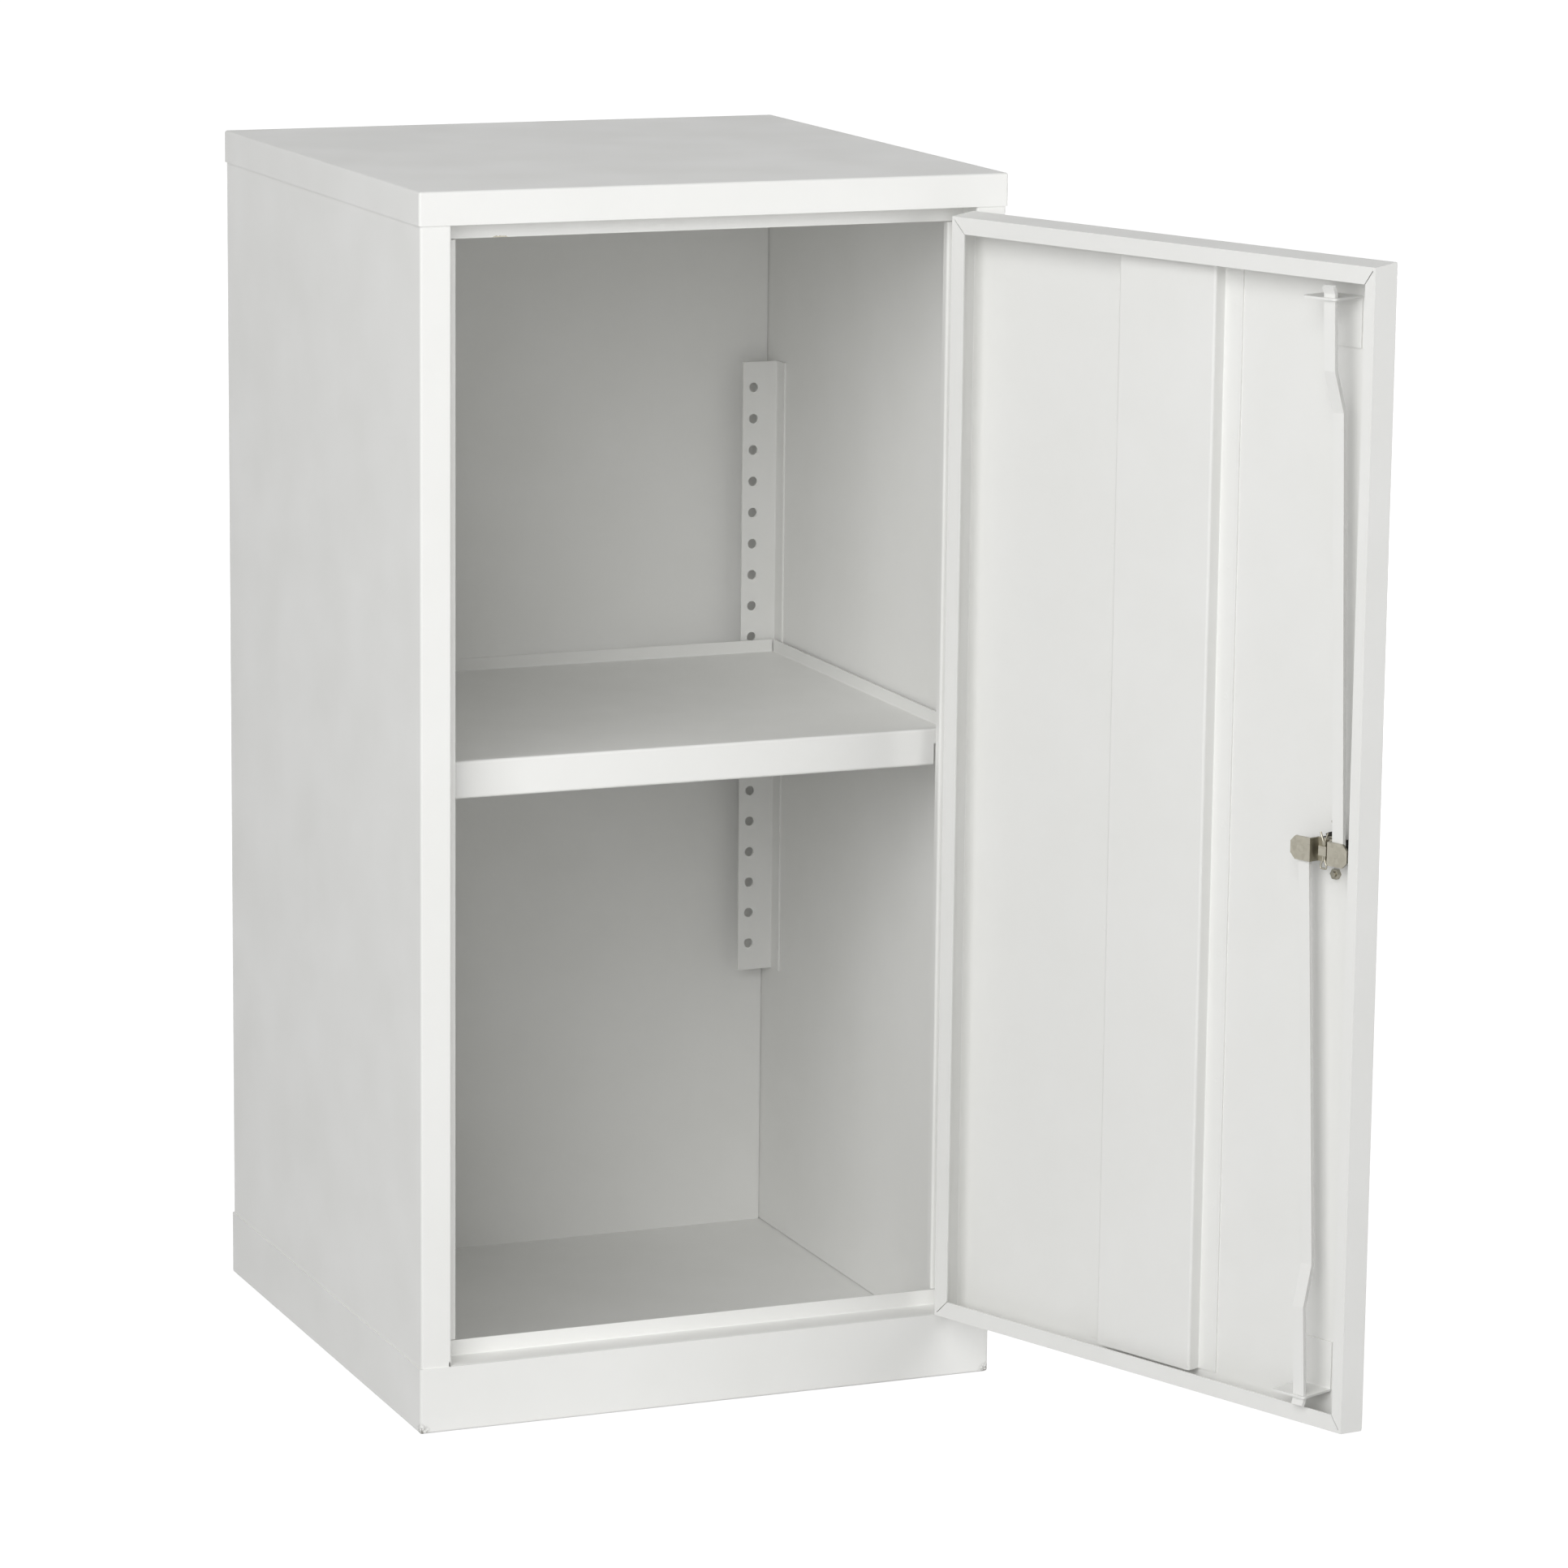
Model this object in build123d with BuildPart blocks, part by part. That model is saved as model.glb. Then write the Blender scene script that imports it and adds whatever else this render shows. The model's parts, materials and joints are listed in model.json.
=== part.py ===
from build123d import *
import os
from math import cos, radians, sin

os.makedirs("parts", exist_ok=True)

# A floor cupboard of folded, powder-coated steel sheet with one door.
# Millimetres. Front is -Y, right is +X, up is +Z. The origin is the middle of the footprint,
# on the floor. The door is drawn at its resting angle, standing open.

# ---------------------------------------------------------------- carcass
cabinet_width = 457.0        # over the lid and the sump
cabinet_depth = 460.0        # over the lid and the sump
cabinet_height = 915.0
sheet = 1.2                  # steel of the carcass, the door and the shelf
bend_inside = 0.8            # inside radius of a fold
lid_flange = 24.4            # how far the lid comes down round the body
sump_height = 49.5           # walls of the tray that forms the floor
jamb_width = 24.8            # lid side to the edge of the door opening
stop_setback = 24.8          # jamb face to the face that the door closes on
stop_lap = 12.2              # how far the side stops reach into the opening
stop_return = 7.0            # stiffening fold behind a side stop
rear_flange = 18.0           # fold of a side panel behind the back panel
header_stop_drop = 12.6      # header stop below the lid flange
sill_stop_rise = 11.8        # sill stop above the rim of the sump
rail_front_flange = 14.0     # fold of a rail hidden behind the lid or the sump wall
stop_corner_gap = 0.7        # side stop to rail stop, at each corner of the opening
back_edge_gap = 1.0          # back panel to each side panel, clear of the fold
rail_pinhole = 2.0           # two draining pinholes at the left end of the sill stop

# ---------------------------------------------------------------- shelf and its angles
angle_sheet = 1.5
angle_leg = 30.6             # leg that carries the holes
angle_wall_leg = 17.0        # leg spot-welded to the side panel
angle_length = 500.0         # centred between the sump's rim and the lid
rear_angle_inset = 25.3      # back of the body to the front face of a rear angle
front_angle_gap = 14.0       # door stop to the rear face of a front angle
hole_pitch = 25.4
hole_diameter = 7.7
hole_edge = 9.1              # free edge of the leg to the hole centres
hole_count = 19
top_hole_drop = 20.6         # top of the angle to its top hole
clip_hole = 9                # hole that the shelf clips use, counted down from the top one
clip_width = 14.0
clip_sheet = 1.2
clip_drop = 6.8              # clip plate below its stud
clip_tongue = 20.0           # reach of the clip under the shelf
clip_rise = 12.0             # stud centre up to the top of the tongue
stud_clearance = 0.05
stud_proud = 1.0             # stud beyond the angle
shelf_side_gap = 3.1         # shelf to each side panel
shelf_front_gap = 2.0        # front angles to the shelf's front edge
shelf_rear_gap = 3.5         # rear lip to the rear angles
shelf_lip = 10.0             # height of the lips over the shelf floor
shelf_bead = 8.0             # flat top of the front edge
shelf_apron = 28.0           # front face of the front edge
shelf_apron_return = 9.0
shelf_apron_overlap = 2.5    # apron beyond the edge of a side stop; past there the clips are
shelf_corner_gap = 0.6

# ---------------------------------------------------------------- door and hinges
hinge_gap = 2.6              # door to jamb, hinge side
free_gap = 1.5               # door to jamb, latch side
top_gap = 1.9
bottom_gap = 1.8
door_depth = 24.4
door_lean = 2.5              # the top and bottom returns lean in by this much
lip_hinge = 12.5
lip_free = 9.0
lip_ends = 12.3
mitre_slit = 0.8             # open seam at each corner of the lips
rest_angle = 112.0           # how far open the door stands
hinge_stand = 2.8            # hinge pin in front of the jamb face
hinge_inset = 145.0          # end of the door to the middle of a hinge
hinge_length = 70.0
knuckles = 5
knuckle_gap = 0.3            # along the pin, between knuckles
pin_radius = 1.5
pin_clearance = 0.05
leaf_sheet = 1.0
leaf_reach = 24.8            # hinge pin to the rear edge of a leaf
knuckle_clear = 0.25         # knuckle to the edge of the other leaf
pin_proud = 1.2
stiffener_face = 92.0
stiffener_height = 12.0
stiffener_flange = 16.5
stiffener_end_gap = 12.2     # end of the door to the end of the stiffener

# ---------------------------------------------------------------- latch
lock_inset = 38.3            # free edge of the door to the lock axis
lock_height = 471.0          # lock axis above the floor
cam_arm = 15.7               # lock axis to each rod's pivot
cam_sheet = 2.0
cam_length = 52.0
cam_width = 17.0
cam_drop = 8.0               # middle of the cam below its tabs
cam_step_inner = 7.6         # radius where the cam starts to step up
cam_step_outer = 8.8         # radius where the step ends
rod_width = 10.0
rod_thickness = 3.0
rod_level = 16.9             # door skin's face to the near face of the rods
rod_joggle = 9.5             # step of a rod toward the lip plane
rod_tip_lift = 2.4           # lead-in bend at the rod's end
rod_tip = 5.0                # length of the lead-in
rod_eye_end = 6.5            # eye centre to the rod's rounded end
eye_clearance = 0.3
rod_line_inset = 36.3        # free edge of the door to the rods, at their guides
cam_over_rod = 0.3           # cam tab to rod
upper_guide_inset = 27.7     # top of the door to the upper guide's upstand
lower_guide_inset = 24.7     # bottom of the door to the lower guide's upstand
upper_rod_inset = 18.2       # top of the door to the rod's end
lower_rod_inset = 17.1       # bottom of the door to the rod's end
upper_joggle_inset = 76.7    # end of the door to the end of the joggle
lower_joggle_inset = 88.7
joggle_length = 30.0
guide_width = 30.0
guide_leg = 35.0
guide_sheet = 1.5
guide_height = 32.0          # outside face of the door to the top of an upstand
guide_edge_inset = 29.3      # free edge of the door to the guide's near edge
slot_clearance = 0.3
spindle_radius = 5.0
spindle_square = 7.0
spindle_clearance = 0.05
spindle_beyond_cam = 4.0
bush_radius = 9.0
bush_length = 9.0
bush_clearance = 0.1
locknut_radius = 12.0
locknut_height = 5.0
locknut_notch = 3.0
escutcheon_length = 66.0
escutcheon_width = 34.0
escutcheon_plate = 3.0
escutcheon_pitch = 37.6      # between its two screws
screw_radius = 2.0
screw_clearance = 0.1
screw_head_radius = 3.9
screw_beyond_nut = 1.5
nut_across_flats = 7.0
nut_height = 3.2
handle_running_gap = 0.3
hub_radius = 12.0
handle_face = 23.0           # outside face of the door to the front of the handle
lever_thickness = 9.0
lever_length = 85.0
lever_tip_radius = 7.5
handle_socket = 6.0
barrel_radius = 5.5
barrel_length = 7.0
barrel_proud = 0.8
key_slot_length = 6.0
key_slot_width = 1.4
key_slot_depth = 3.0
wire_radius = 0.7            # wire of the split pin
wire_gap = 0.1               # between the split pin's two legs
split_above = 13.0           # tips of its legs above the lock axis
split_spread = 3.4           # a tip beside the lock axis
split_eye_drop = 12.9        # bottom of its eye below the lock axis
split_eye = 2.6              # eye's wire beside the lock axis
pivot_radius = 2.5

# ---------------------------------------------------------------- lines worked out from these
half_width = cabinet_width / 2
half_depth = cabinet_depth / 2
body_half = half_width - sheet                 # outside of the side panels
wall_face = body_half - sheet                  # inside of the side panels
body_front = -half_depth + sheet               # face of the jambs
body_rear = half_depth - sheet
opening_half = half_width - jamb_width
stop_face = body_front + stop_setback
lid_bottom = cabinet_height - lid_flange
panel_bottom = sheet + bend_inside
panel_top = cabinet_height - sheet - bend_inside
header_stop = lid_bottom - header_stop_drop
sill_stop = sump_height + sill_stop_rise
mid = sheet / 2
bend = bend_inside + mid                       # fold radius at the middle of the sheet

door_width = 2 * opening_half - hinge_gap - free_gap
door_bottom = sump_height + bottom_gap
door_top = lid_bottom - top_gap
door_middle = (door_bottom + door_top) / 2
hinge_x = opening_half - hinge_gap / 2
hinge_y = body_front - hinge_stand

# The door's own directions: across runs from its hinge edge to its free edge, inward from its
# outside face to its lips.
across = Vector(-cos(radians(rest_angle)), -sin(radians(rest_angle)), 0)
inward = Vector(-sin(radians(rest_angle)), cos(radians(rest_angle)), 0)
door_corner = Vector(hinge_x, hinge_y, 0) + across * (hinge_gap / 2) + inward * hinge_stand
door_face = Plane(origin=door_corner, x_dir=across, z_dir=inward)      # local: across, up
door_plan = Plane(origin=door_corner, x_dir=across, z_dir=(0, 0, -1))  # local: across, inward
door_depthwise = Plane(origin=door_corner, x_dir=inward, z_dir=across * -1)  # local: inward, up

lock_across = door_width - lock_inset
lock_point = (lock_across, lock_height)


def save(piece, name):
    """Label a finished piece and write it under its own name."""
    piece.label = name
    export_step(piece, f"parts/{name}.step")


def door_point(u, z, n):
    """A point of the door: across from its hinge edge, up, and in from its outside face."""
    return door_corner + across * u + inward * n + Vector(0, 0, z)


# ---------------------------------------------------------------- lid and sump
with BuildPart() as lid:
    with BuildSketch(Plane.XY.offset(lid_bottom)):
        Rectangle(cabinet_width, cabinet_depth)
    extrude(amount=lid_flange)
    lid_folds = lid.edges().filter_by(Axis.Z) + lid.faces().sort_by(Axis.Z)[-1].edges()
    fillet(lid_folds, radius=bend_inside + sheet)
    offset(amount=-sheet, openings=lid.faces().sort_by(Axis.Z)[0])
save(lid.part, "lid")

with BuildPart() as base_sump:
    with BuildSketch():
        Rectangle(cabinet_width, cabinet_depth)
    extrude(amount=sump_height)
    sump_folds = base_sump.edges().filter_by(Axis.Z) + base_sump.faces().sort_by(Axis.Z)[0].edges()
    fillet(sump_folds, radius=bend_inside + sheet)
    offset(amount=-sheet, openings=base_sump.faces().sort_by(Axis.Z)[-1])
save(base_sump.part, "base_sump")


# ---------------------------------------------------------------- side panels, each one sheet
def side_panel(hand):
    """Rear flange, wall, jamb, opening edge, door stop and its return, folded from one sheet."""
    rear_line = body_rear - mid
    wall_line = body_half - mid
    jamb_line = body_front + mid
    edge_line = opening_half + mid
    stop_line = stop_face + mid
    stop_end = opening_half - stop_lap + mid
    folds = [
        (hand * (body_half - rear_flange), rear_line),
        (hand * wall_line, rear_line),
        (hand * wall_line, jamb_line),
        (hand * edge_line, jamb_line),
        (hand * edge_line, stop_line),
        (hand * stop_end, stop_line),
        (hand * stop_end, stop_face + stop_return),
    ]
    with BuildPart() as panel:
        with BuildSketch(Plane.XY.offset(panel_bottom)) as section:
            with BuildLine():
                FilletPolyline(*folds, radius=bend)
            trace(line_width=sheet)
        extrude(amount=panel_top - panel_bottom)
        # The stop is cut away at both ends, where the rails' own stops take over.
        stop_middle = (hand * (opening_half - stop_lap / 2), stop_face + stop_return / 2)
        with BuildSketch(Plane.XY.offset(panel_bottom)):
            with Locations(stop_middle):
                Rectangle(stop_lap, stop_return + 2 * bend)
        extrude(amount=sill_stop + stop_corner_gap - panel_bottom, mode=Mode.SUBTRACT)
        with BuildSketch(Plane.XY.offset(panel_top)):
            with Locations(stop_middle):
                Rectangle(stop_lap, stop_return + 2 * bend)
        extrude(amount=header_stop - stop_corner_gap - panel_top, mode=Mode.SUBTRACT)
    return panel.part


save(side_panel(-1), "left_side")
save(side_panel(1), "right_side")

with BuildPart() as back_panel:
    with BuildSketch(Plane.XY.offset(sheet)):
        with Locations((0, body_rear - sheet - mid)):
            Rectangle(2 * (wall_face - back_edge_gap), sheet)
    extrude(amount=panel_top - sheet)
save(back_panel.part, "back_panel")

# ---------------------------------------------------------------- header and sill rails
header_folds = [
    (body_front + mid, lid_bottom + rail_front_flange),
    (body_front + mid, lid_bottom + mid),
    (stop_face + mid, lid_bottom + mid),
    (stop_face + mid, header_stop),
]
with BuildPart() as header_rail:
    with BuildSketch(Plane.YZ):
        with BuildLine():
            FilletPolyline(*header_folds, radius=bend)
        trace(line_width=sheet)
    extrude(amount=opening_half, both=True)
save(header_rail.part, "header_rail")

sill_folds = [
    (body_front + mid, sump_height - rail_front_flange),
    (body_front + mid, sump_height - mid),
    (stop_face + mid, sump_height - mid),
    (stop_face + mid, sill_stop),
]
with BuildPart() as sill_rail:
    with BuildSketch(Plane.YZ):
        with BuildLine():
            FilletPolyline(*sill_folds, radius=bend)
        trace(line_width=sheet)
    extrude(amount=opening_half, both=True)
    with BuildSketch(Plane.XZ.offset(-stop_face)):
        with Locations((2 * rail_pinhole - opening_half, (sill_stop + sump_height) / 2)):
            with GridLocations(2 * rail_pinhole, 2 * rail_pinhole, 1, 2):
                Circle(rail_pinhole / 2)
    extrude(amount=-2 * sheet, mode=Mode.SUBTRACT)
save(sill_rail.part, "sill_rail")


# ---------------------------------------------------------------- perforated corner angles
hole_x = wall_face - angle_leg + hole_edge
angle_mid = angle_sheet / 2
angle_bottom = (sump_height + lid_bottom - angle_length) / 2
top_hole = angle_bottom + angle_length - top_hole_drop
rear_angle_face = body_rear - rear_angle_inset
front_angle_face = stop_face + front_angle_gap
clip_z = top_hole - clip_hole * hole_pitch


def corner_angle(hand, face, front):
    """One angle: holed leg across the corner, plain leg on the side panel."""
    leg_line = face - front * angle_mid
    wall_line = hand * (wall_face - angle_mid)
    folds = [
        (hand * (wall_face - angle_leg), leg_line),
        (wall_line, leg_line),
        (wall_line, face + front * (angle_wall_leg - angle_sheet)),
    ]
    with BuildPart() as angle:
        with BuildSketch(Plane.XY.offset(angle_bottom)):
            with BuildLine():
                FilletPolyline(*folds, radius=bend_inside + angle_mid)
            trace(line_width=angle_sheet)
        extrude(amount=angle_length)
        with BuildSketch(Plane.XZ.offset(-leg_line)):
            with Locations((hand * hole_x, top_hole - (hole_count - 1) * hole_pitch / 2)):
                with GridLocations(hole_pitch, hole_pitch, 1, hole_count):
                    Circle(hole_diameter / 2)
        extrude(amount=angle_sheet, both=True, mode=Mode.SUBTRACT)
    return angle.part


for end, face, front in (("rear", rear_angle_face, -1), ("front", front_angle_face, 1)):
    for side, hand in (("left", -1), ("right", 1)):
        save(corner_angle(hand, face, front), f"{end}_{side}_angle")

# ---------------------------------------------------------------- shelf clips
shelf_floor = clip_z + clip_rise + sheet          # upper face of the shelf's floor

with BuildPart() as shelf_clips:
    for face, front in ((rear_angle_face, -1), (front_angle_face, 1)):
        plate_line = face + front * clip_sheet / 2
        clip_folds = [
            (plate_line, clip_z - clip_drop),
            (plate_line, clip_z + clip_rise - clip_sheet / 2),
            (plate_line + front * clip_tongue, clip_z + clip_rise - clip_sheet / 2),
        ]
        for hand in (-1, 1):
            with BuildSketch(Plane.YZ.offset(hand * hole_x)):
                with BuildLine():
                    FilletPolyline(*clip_folds, radius=bend_inside + clip_sheet / 2)
                trace(line_width=clip_sheet)
            extrude(amount=clip_width / 2, both=True)
            with BuildSketch(Plane.XZ.offset(-face)):
                with Locations((hand * hole_x, clip_z)):
                    Circle(hole_diameter / 2 - stud_clearance)
            extrude(amount=front * (angle_sheet + stud_proud))
save(shelf_clips.part, "shelf_clips")

# ---------------------------------------------------------------- shelf
floor_line = shelf_floor - mid
shelf_half_width = wall_face - shelf_side_gap
shelf_front = front_angle_face + shelf_front_gap
shelf_rear = rear_angle_face - shelf_rear_gap
shelf_apron_half = opening_half - stop_lap + shelf_apron_overlap
lip_top = shelf_floor + shelf_lip
with BuildPart() as shelf:
    shelf_folds = [
        (shelf_rear - mid, lip_top),
        (shelf_rear - mid, floor_line),
        (shelf_front + shelf_bead - mid, floor_line),
        (shelf_front + shelf_bead - mid, lip_top - mid),
        (shelf_front + mid, lip_top - mid),
        (shelf_front + mid, lip_top - shelf_apron + mid),
        (shelf_front + shelf_apron_return, lip_top - shelf_apron + mid),
    ]
    with BuildSketch(Plane.YZ):
        with BuildLine():
            FilletPolyline(*shelf_folds, radius=bend)
        trace(line_width=sheet)
    extrude(amount=shelf_half_width - bend_inside - sheet, both=True)
    # Side lips, folded up from the floor between the front edge and the rear lip.
    side_start = shelf_front + shelf_bead + shelf_corner_gap
    side_end = shelf_rear - sheet - shelf_corner_gap
    for hand in (-1, 1):
        side_folds = [
            (hand * (shelf_half_width - 4 * bend), floor_line),
            (hand * (shelf_half_width - mid), floor_line),
            (hand * (shelf_half_width - mid), lip_top),
        ]
        with BuildSketch(Plane.XZ.offset(-side_start)):
            with BuildLine():
                FilletPolyline(*side_folds, radius=bend)
            trace(line_width=sheet)
        extrude(amount=side_start - side_end)
        # The apron stops short of the clips.
        with BuildSketch(Plane.YZ.offset(hand * shelf_apron_half)):
            with Locations((shelf_front, shelf_floor - sheet)):
                Rectangle(2 * shelf_apron_return, shelf_apron, align=(Align.CENTER, Align.MAX))
        extrude(amount=hand * (shelf_half_width - shelf_apron_half), mode=Mode.SUBTRACT)
save(shelf.part, "shelf")


# ---------------------------------------------------------------- hinges
knuckle_radius = pin_radius + pin_clearance + leaf_sheet
knuckle_pitch = hinge_length / knuckles


def hinge_leaf(plan, axis, leaf_middle, leaf_end, bottom, own, other):
    """A leaf with its own knuckles, cut back round the other leaf's knuckles."""
    rise = plan.z_dir.Z
    with BuildPart() as leaf:
        with BuildSketch(plan.offset(rise * bottom)):
            leaf_start = (leaf_middle, axis[1])
            with Locations(leaf_start):
                Rectangle(leaf_sheet, leaf_end, align=(Align.CENTER, Align.MIN))
            with Locations(axis):
                Circle(knuckle_radius)
        extrude(amount=rise * hinge_length)
        for index in other:
            start = bottom + index * knuckle_pitch - knuckle_gap / 2
            with BuildSketch(plan.offset(rise * start)):
                with Locations(axis):
                    Circle(knuckle_radius + knuckle_clear)
            extrude(amount=rise * (knuckle_pitch + knuckle_gap), mode=Mode.SUBTRACT)
        with BuildSketch(plan.offset(rise * bottom)):
            with Locations(axis):
                Circle(pin_radius + pin_clearance)
        extrude(amount=rise * hinge_length, mode=Mode.SUBTRACT)
    return leaf.part


frame_knuckles = range(0, knuckles, 2)
door_knuckles = range(1, knuckles, 2)
frame_axis = (hinge_x, hinge_y)
door_axis = (-hinge_gap / 2, -hinge_stand)
for place, middle in (("upper", door_top - hinge_inset), ("lower", door_bottom + hinge_inset)):
    hinge_bottom = middle - hinge_length / 2
    frame_leaf = hinge_leaf(Plane.XY, frame_axis, opening_half - leaf_sheet / 2, leaf_reach,
                            hinge_bottom, frame_knuckles, door_knuckles)
    save(frame_leaf, f"{place}_hinge_frame_leaf")
    door_leaf = hinge_leaf(door_plan, door_axis, -leaf_sheet / 2, leaf_reach,
                           hinge_bottom, door_knuckles, frame_knuckles)
    save(door_leaf, f"{place}_hinge_door_leaf")
    with BuildPart() as hinge_pin:
        with BuildSketch(Plane.XY.offset(hinge_bottom - pin_proud)):
            with Locations(frame_axis):
                Circle(pin_radius)
        extrude(amount=hinge_length + 2 * pin_proud)
        chamfer(hinge_pin.edges().filter_by(GeomType.CIRCLE), length=pin_radius / 4)
    save(hinge_pin.part, f"{place}_hinge_pin")

# ---------------------------------------------------------------- door pan
door_center = (door_width / 2, door_middle)
door_height = door_top - door_bottom
lip_height = door_height - 2 * door_lean
window = (door_width - lip_hinge - lip_free, lip_height - 2 * lip_ends)
window_center = ((door_width + lip_hinge - lip_free) / 2, door_middle)
inward_axis = Axis(door_corner, inward)



def pan_block(inset, radius):
    """The pan's tapering outline as a block, inset all round from its outside."""
    start = (door_width - 2 * inset, door_height - 2 * inset - 2 * inset * door_lean / door_depth)
    with BuildPart() as block:
        with BuildSketch(door_face.offset(inset)):
            with Locations(door_center):
                Rectangle(*start)
        with BuildSketch(door_face.offset(door_depth)):
            with Locations(door_center):
                Rectangle(door_width - 2 * inset, lip_height - 2 * inset)
        loft()
        fillet(block.faces().sort_by(inward_axis)[0].edges(), radius=radius)
    return block.part


with BuildPart() as door_pan:
    add(pan_block(0, bend_inside + sheet))
    add(pan_block(sheet, bend_inside), mode=Mode.SUBTRACT)
    # Lips folded in along all four edges.
    with BuildSketch(door_face.offset(door_depth - sheet)):
        with Locations(door_center):
            Rectangle(door_width - sheet, lip_height - sheet)
        with Locations(window_center):
            Rectangle(*window, mode=Mode.SUBTRACT)
    extrude(amount=sheet)
    # The open mitres between the lips.
    with BuildSketch(door_face.offset(door_depth - sheet)):
        for edge, lip, run in ((0, lip_hinge, 1), (door_width, lip_free, -1)):
            for end, rise in ((door_middle - lip_height / 2, 1), (door_middle + lip_height / 2, -1)):
                inner = (edge + run * (lip + sheet), end + rise * (lip_ends + sheet))
                outer = (edge + run * 2 * sheet, end + rise * 2 * sheet)
                with BuildLine():
                    seam = Line(outer, inner)
                trace(seam, line_width=mitre_slit)
    extrude(amount=sheet, mode=Mode.SUBTRACT)
    # Holes for the lock and for the two screws of its plate.
    with BuildSketch(door_face):
        with Locations(lock_point):
            Circle(bush_radius + bush_clearance)
            with GridLocations(escutcheon_pitch, escutcheon_pitch, 1, 2):
                Circle(screw_radius + screw_clearance)
    extrude(amount=sheet, mode=Mode.SUBTRACT)
save(door_pan.part, "door_pan")

# ---------------------------------------------------------------- door stiffener
hat_edge = door_width / 2 - stiffener_face / 2
hat_folds = [
    (hat_edge - stiffener_flange, sheet + mid),
    (hat_edge + mid, sheet + mid),
    (hat_edge + mid, sheet + stiffener_height - mid),
    (door_width - hat_edge - mid, sheet + stiffener_height - mid),
    (door_width - hat_edge - mid, sheet + mid),
    (door_width - hat_edge + stiffener_flange, sheet + mid),
]
with BuildPart() as door_stiffener:
    with BuildSketch(door_plan.offset(-(door_bottom + stiffener_end_gap))):
        with BuildLine():
            FilletPolyline(*hat_folds, radius=bend)
        trace(line_width=sheet)
    extrude(amount=-(door_height - 2 * stiffener_end_gap))
save(door_stiffener.part, "door_stiffener")

# ---------------------------------------------------------------- rods and their guides
guide_across = door_width - rod_line_inset


def lock_rod(side, guide_z, tip_z, joggle_z):
    """A flat rod from the cam to its guide, stepped up over the lip, with a lead-in at its tip."""
    eye = door_point(lock_across + side * cam_arm, lock_height, 0)
    along = (door_point(guide_across, guide_z, 0) - eye).normalized()
    lean = abs(along.Z)
    rod_mid = rod_level + rod_thickness / 2
    joggle_end = abs(joggle_z - lock_height) / lean
    tip_end = abs(tip_z - lock_height) / lean
    rod_folds = [
        (rod_mid, -rod_eye_end),
        (rod_mid, joggle_end - joggle_length),
        (rod_mid + rod_joggle, joggle_end),
        (rod_mid + rod_joggle, tip_end - rod_tip),
        (rod_mid + rod_joggle + rod_tip_lift, tip_end),
    ]
    with BuildPart() as rod:
        with BuildSketch(Plane(origin=eye, x_dir=inward, z_dir=inward.cross(along))):
            with BuildLine():
                FilletPolyline(*rod_folds, radius=rod_thickness)
            trace(line_width=rod_thickness)
        extrude(amount=rod_width / 2, both=True)
        eye_end = rod.faces().sort_by(Axis(eye, along))[0]
        fillet(eye_end.edges().filter_by(Axis(eye, inward)), radius=rod_width / 2 - sheet)
        with BuildSketch(door_face.offset(rod_level)):
            with Locations((lock_across + side * cam_arm, lock_height)):
                Circle(pivot_radius + eye_clearance)
        extrude(amount=rod_thickness, mode=Mode.SUBTRACT)
    return rod.part


def rod_guide(guide_z, rise):
    """A bracket on the door's skin whose upstand has a slot for the rod."""
    guide_mid = guide_sheet / 2
    guide_folds = [
        (sheet + guide_mid, guide_z - rise * guide_leg),
        (sheet + guide_mid, guide_z + rise * guide_mid),
        (guide_height, guide_z + rise * guide_mid),
    ]
    start = door_width - guide_edge_inset - guide_width
    with BuildPart() as guide:
        with BuildSketch(door_depthwise.offset(-start)):
            with BuildLine():
                FilletPolyline(*guide_folds, radius=bend_inside + guide_mid)
            trace(line_width=guide_sheet)
        extrude(amount=-guide_width)
        corners = guide.faces().sort_by(inward_axis)[-1].edges().filter_by(Axis.Z)
        fillet(corners, radius=guide_sheet * 2)
        with BuildSketch(door_plan.offset(-(guide_z - rise * guide_sheet))):
            with Locations((guide_across, rod_level + rod_joggle + rod_thickness / 2)):
                Rectangle(rod_width + 4 * slot_clearance, rod_thickness + 2 * slot_clearance)
        extrude(amount=-rise * 3 * guide_sheet, mode=Mode.SUBTRACT)
    return guide.part


upper_guide_z = door_top - upper_guide_inset
lower_guide_z = door_bottom + lower_guide_inset
upper_rod = lock_rod(1, upper_guide_z, door_top - upper_rod_inset, door_top - upper_joggle_inset)
lower_rod = lock_rod(-1, lower_guide_z, door_bottom + lower_rod_inset,
                     door_bottom + lower_joggle_inset)
save(upper_rod, "upper_rod")
save(lower_rod, "lower_rod")
save(rod_guide(upper_guide_z, 1), "upper_rod_guide")
save(rod_guide(lower_guide_z, -1), "lower_rod_guide")

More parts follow.
